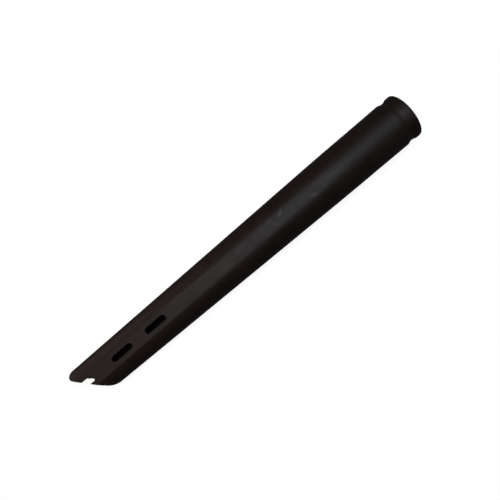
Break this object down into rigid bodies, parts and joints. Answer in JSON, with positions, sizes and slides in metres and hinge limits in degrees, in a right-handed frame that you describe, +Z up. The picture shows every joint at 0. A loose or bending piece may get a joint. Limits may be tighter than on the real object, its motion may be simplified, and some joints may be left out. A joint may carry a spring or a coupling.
{
  "type": "vacuum crevice tool",
  "caption": "Long hollow plastic suction nozzle with a round friction socket, tapering to a flattened duct with a slanted notched mouth and air slots.",
  "frame": {"origin": "on the surface that the tool lies on, under the middle of its box", "axes": "+X along the tool towards the socket's rim, +Y towards the side of the mouth's tip, +Z up, out of the flat with the air slots"},
  "size_m": [0.316, 0.0368, 0.0382],
  "materials": {
    "black_plastic": "satin moulded, fine grain"
  },
  "bodies": {
    "root": {"crevice_tool": "black_plastic"}
  },
  "joints": []
}
